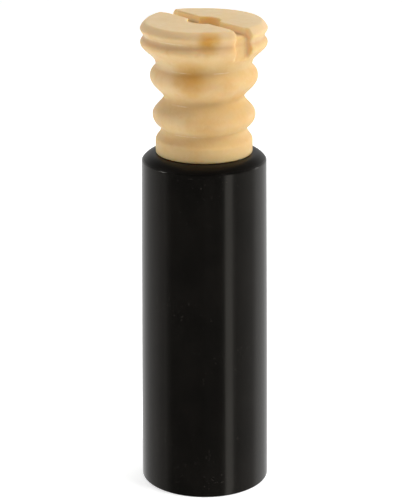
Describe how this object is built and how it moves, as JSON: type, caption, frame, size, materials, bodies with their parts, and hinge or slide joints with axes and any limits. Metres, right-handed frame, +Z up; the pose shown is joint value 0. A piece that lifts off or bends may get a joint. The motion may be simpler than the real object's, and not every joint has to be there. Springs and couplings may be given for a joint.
{
  "type": "shock absorber bump stop with dust tube",
  "caption": "Ringed foam bump stop with a vent channel across its top and a bore for a damper rod, snapped into the neck of a long plain dust tube with an open lower end.",
  "frame": {"origin": "centre of the dust tube's open lower end, on the damper rod's axis", "axes": "+Z up along the damper rod, from the tube's open end to the foam's top; +X along the vent channel across the foam's top; +Y across the channel"},
  "size_m": [0.055, 0.055, 0.2027],
  "materials": {
    "black_plastic": "semi-gloss moulded black plastic",
    "cream_foam": "smooth skinned cream microcellular polyurethane foam"
  },
  "bodies": {
    "dust_tube": {"dust_tube": "black_plastic"},
    "bump_stop_foot": {"bump_stop_foot": "cream_foam"},
    "bump_stop": {"bump_stop": "cream_foam"}
  },
  "joints": [
    {"name": "foam_swivel", "type": "hinge", "parent": "dust_tube", "child": "bump_stop_foot", "pos_m": [0, 0, 0.1468], "axis": [0, 0, 1], "continuous": true},
    {"name": "foam_compression", "type": "slide", "parent": "bump_stop_foot", "child": "bump_stop", "axis": [0, 0, -1], "range_m": [0, 0.03], "stiffness_N_per_m": 15000, "deforming": ["bump_stop"]}
  ]
}
